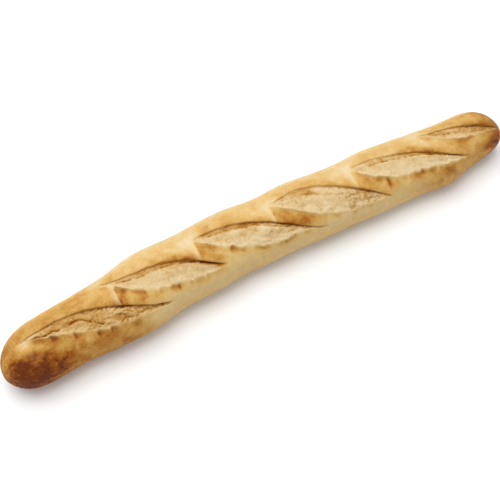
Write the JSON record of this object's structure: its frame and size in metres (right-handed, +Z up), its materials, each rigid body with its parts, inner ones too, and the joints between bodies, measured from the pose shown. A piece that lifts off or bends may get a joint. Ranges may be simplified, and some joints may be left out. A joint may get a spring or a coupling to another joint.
{
  "type": "baguette",
  "caption": "Long slender loaf of bread with rounded ends, a flat underside and overlapping diagonal slashes that have opened along its crust; food to slice and eat.",
  "frame": {"origin": "centre of the bounding box, at the level of the flat underside", "axes": "+X along the loaf from its broad browned end to its narrower end, +Y towards the smooth flank, away from the side the slashes run down, +Z up from the surface it rests on"},
  "size_m": [0.56, 0.0828, 0.0485],
  "materials": {
    "crust": "matt golden baked crust"
  },
  "bodies": {
    "root": {"baguette": "crust"}
  },
  "joints": []
}
